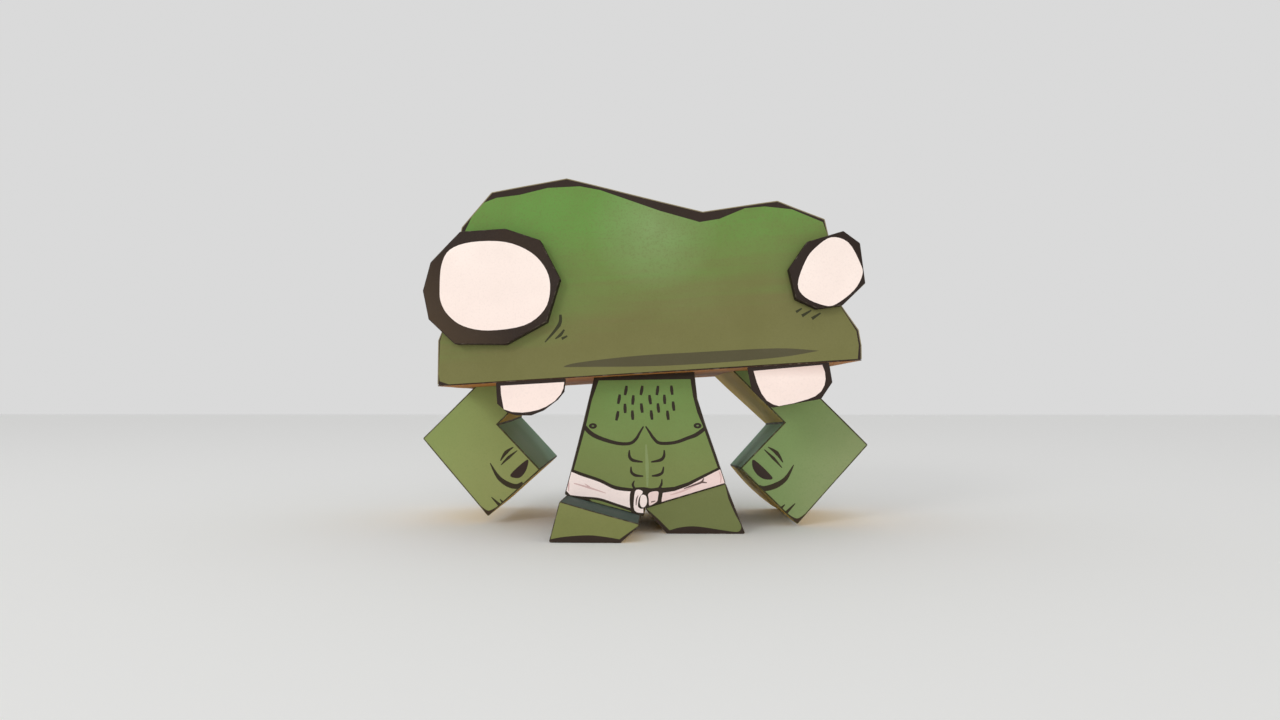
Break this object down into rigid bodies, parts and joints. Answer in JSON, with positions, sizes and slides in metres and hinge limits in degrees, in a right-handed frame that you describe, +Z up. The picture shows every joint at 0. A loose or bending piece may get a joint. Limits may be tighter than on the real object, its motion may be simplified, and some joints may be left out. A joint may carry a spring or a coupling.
{
  "type": "paper toy figure",
  "caption": "Standing figure of folded and glued printed card: a wide box head with raised eyes and hanging teeth, elbow-box arms, a torso box and leg boxes, one foot forward",
  "frame": {"origin": "the middle of the whole figure's bounding box in X and Y, on the surface that its soles stand on", "axes": "+X to the right as seen from the front, along the widest extent, +Y to the back, +Z up"},
  "size_m": [0.1754, 0.109, 0.1289],
  "materials": {
    "head_front": "printed green face card, matt",
    "head_back": "printed green card, matt",
    "head_band": "printed dark brown card, matt",
    "head_underside": "printed orange-brown card, matt",
    "left_eye": "white eye printed on dark brown card, matt",
    "right_eye": "white eye printed on dark brown card, matt",
    "left_tooth": "white tooth card with a dark outline, matt",
    "right_tooth": "white tooth card with a dark outline, matt",
    "left_arm": "printed green card, matt",
    "right_arm": "printed green card, matt",
    "torso": "printed green card with a pale belt, matt",
    "left_leg": "printed olive card, matt",
    "right_leg": "printed olive card, matt"
  },
  "bodies": {
    "root": {"head_front": "head_front", "head_back": "head_back", "head_band": "head_band", "head_underside": "head_underside", "left_eye": "left_eye", "right_eye": "right_eye", "left_tooth": "left_tooth", "right_tooth": "right_tooth", "left_arm": "left_arm", "right_arm": "right_arm", "torso": "torso", "left_leg": "left_leg", "right_leg": "right_leg"}
  },
  "joints": []
}
